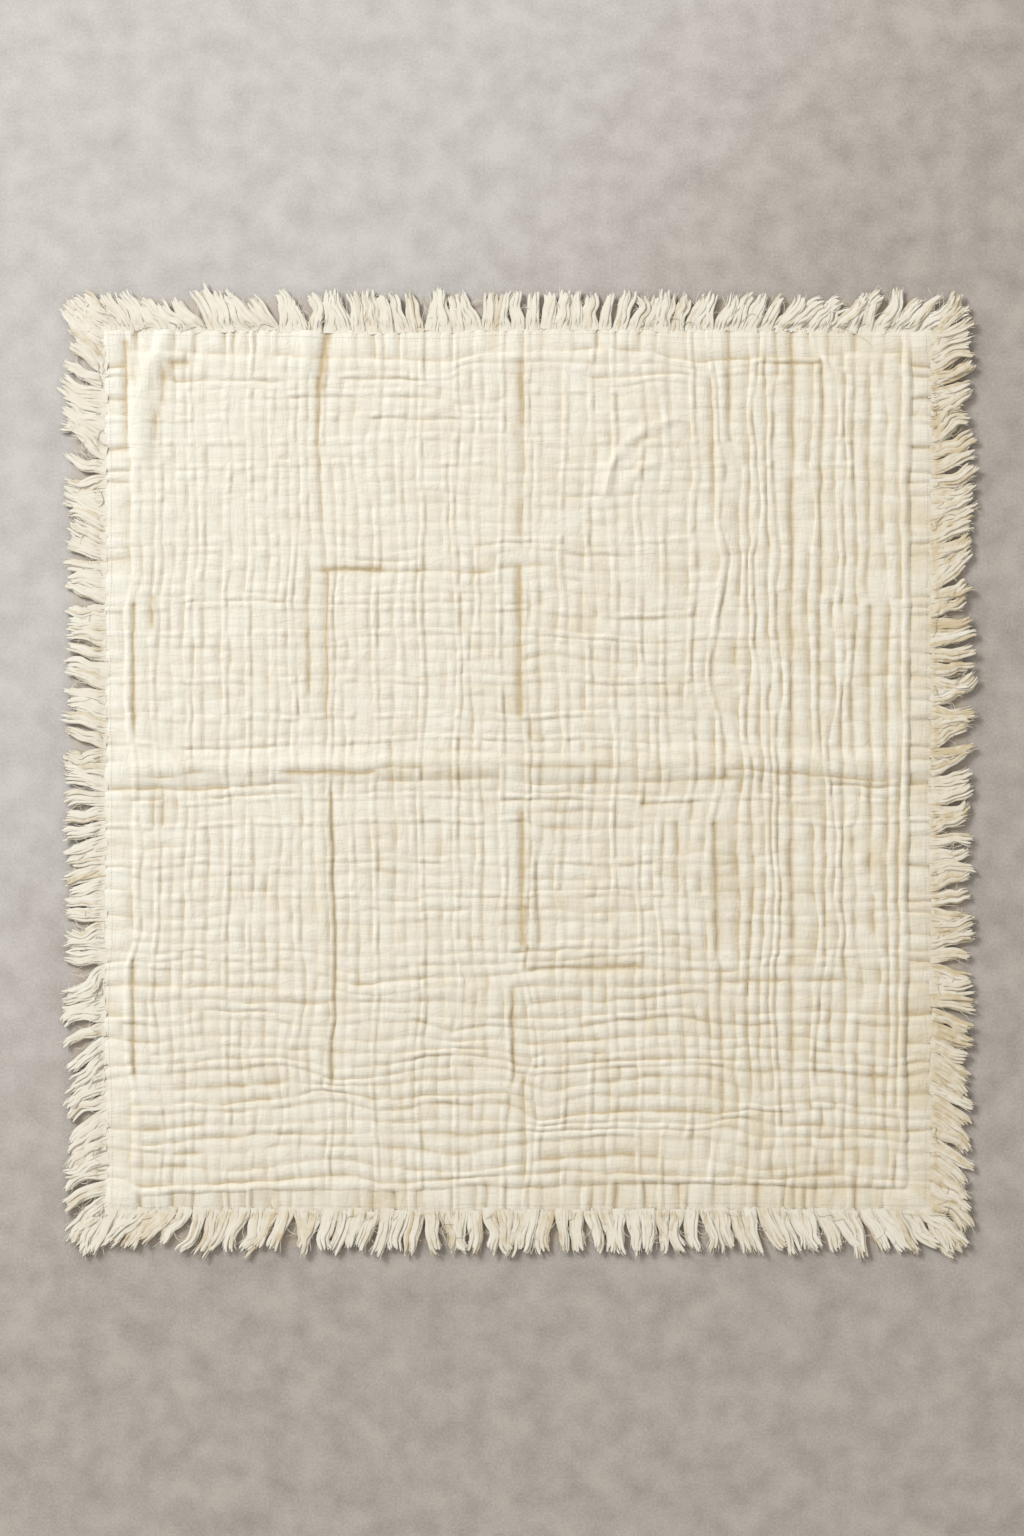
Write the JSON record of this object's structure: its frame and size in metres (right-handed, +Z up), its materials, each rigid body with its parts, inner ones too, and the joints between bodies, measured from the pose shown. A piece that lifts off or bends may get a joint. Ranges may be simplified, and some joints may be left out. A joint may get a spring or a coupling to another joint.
{
  "type": "swaddle blanket",
  "caption": "Near-square baby swaddle blanket of crinkled cotton gauze, laid flat, with a soft yarn fringe on all four sides.",
  "frame": {"origin": "below the middle of the whole blanket, fringe included, on the surface it lies on", "axes": "+Z up out of the surface, +Y along the longer sides towards the edge that is at the top of the picture, +X to the right"},
  "size_m": [1.004, 1.062, 0.0077],
  "materials": {
    "gauze": "soft cream cotton gauze in several layers, crinkled, matt",
    "fringe_yarn": "loose cream cotton yarns in tufts, matt"
  },
  "bodies": {
    "root": {"cloth": "gauze", "fringe_top": "fringe_yarn", "fringe_bottom": "fringe_yarn", "fringe_left": "fringe_yarn", "fringe_right": "fringe_yarn"}
  },
  "joints": []
}
